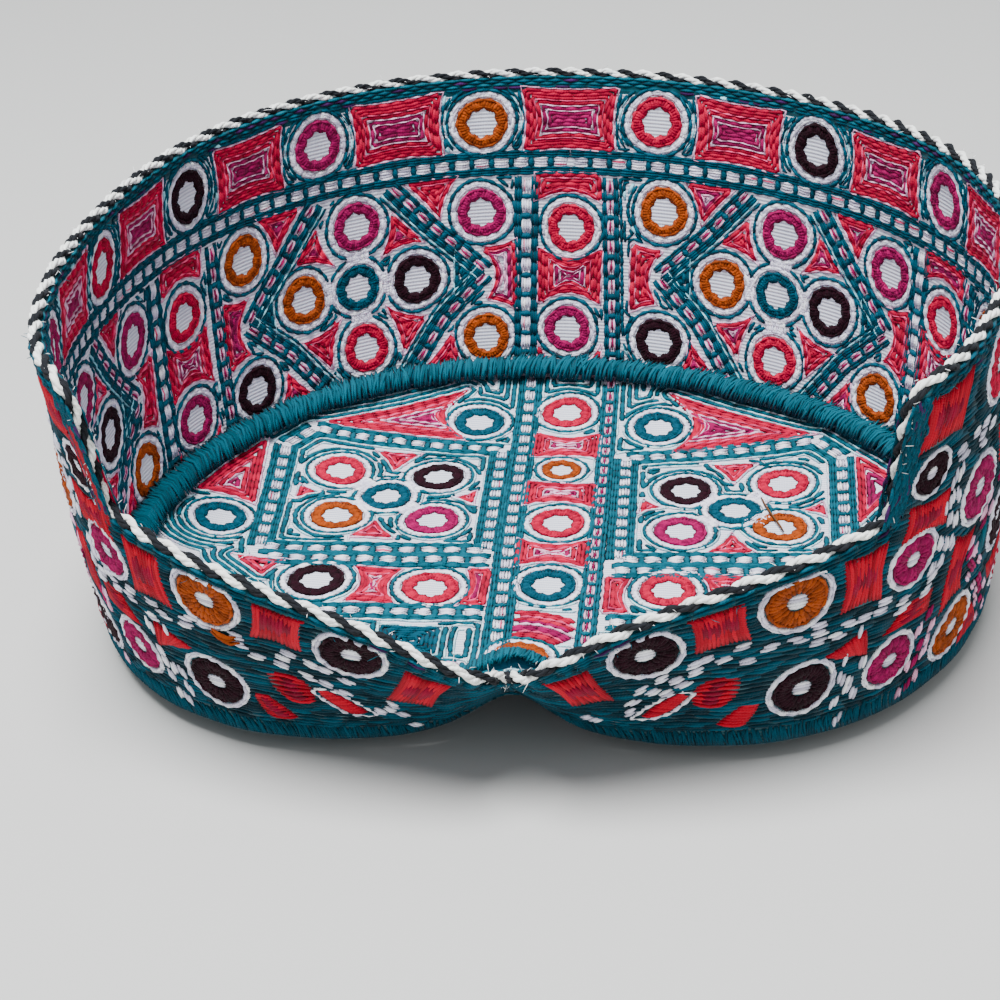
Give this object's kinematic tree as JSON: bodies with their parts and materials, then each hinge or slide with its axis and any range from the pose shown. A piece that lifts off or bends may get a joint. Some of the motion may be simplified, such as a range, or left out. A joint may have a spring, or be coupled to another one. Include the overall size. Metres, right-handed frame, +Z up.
{
  "type": "sindhi cap",
  "caption": "Soft embroidered Sindhi cap with an arched front opening and a corded rim, lying upside down on its crown.",
  "frame": {"origin": "on the surface the cap lies on, under the middle of its bounding box", "axes": "+Z up, out of the head hollow, away from the crown; -Y towards the arch opening and its notch (the wearer's forehead); +X towards the right of the arch as seen from the front"},
  "size_m": [0.173, 0.1694, 0.077],
  "materials": {
    "crown_cloth": "matte",
    "band_cloth": "matte",
    "seam_thread": "matte",
    "cord_thread": "matte"
  },
  "bodies": {
    "root": {"crown": "crown_cloth", "crown_seam": "seam_thread", "side_band": "band_cloth", "rim_cord": "cord_thread"}
  },
  "joints": []
}
